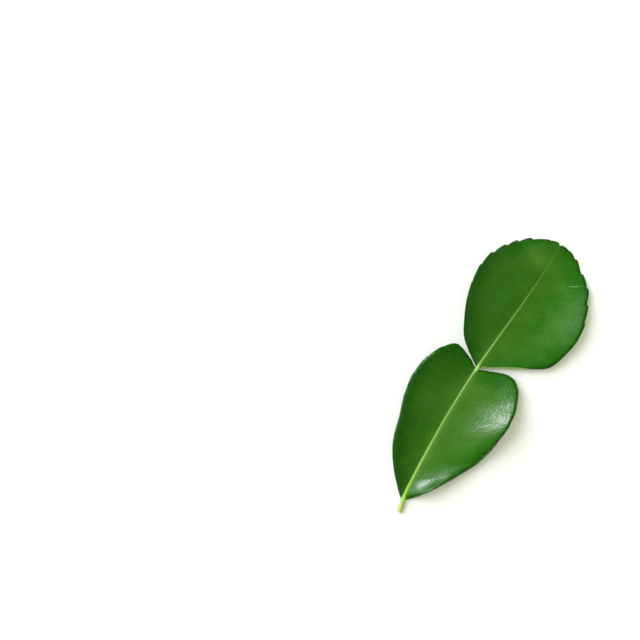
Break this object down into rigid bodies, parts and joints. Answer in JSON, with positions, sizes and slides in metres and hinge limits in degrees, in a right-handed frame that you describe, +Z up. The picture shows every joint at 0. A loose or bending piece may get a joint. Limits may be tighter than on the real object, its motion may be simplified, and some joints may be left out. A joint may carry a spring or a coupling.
{
  "type": "kaffir lime leaf",
  "caption": "Hourglass-shaped citrus leaf lying face up: an end blade with a scalloped margin on a broad winged petiole, with a raised midrib and a short round stalk.",
  "frame": {"origin": "centre of the leaf's bounding box, on the surface it lies on", "axes": "+Y along the leaf from the stalk to the tip, +X to its right seen from above, +Z up from its glossy face"},
  "size_m": [0.0478, 0.1204, 0.0104],
  "materials": {
    "leaf": "waxy semi-gloss, dark green above and paler and duller beneath, with a yellow-green midrib and stalk"
  },
  "bodies": {
    "root": {"kaffir_lime_leaf": "leaf"}
  },
  "joints": []
}
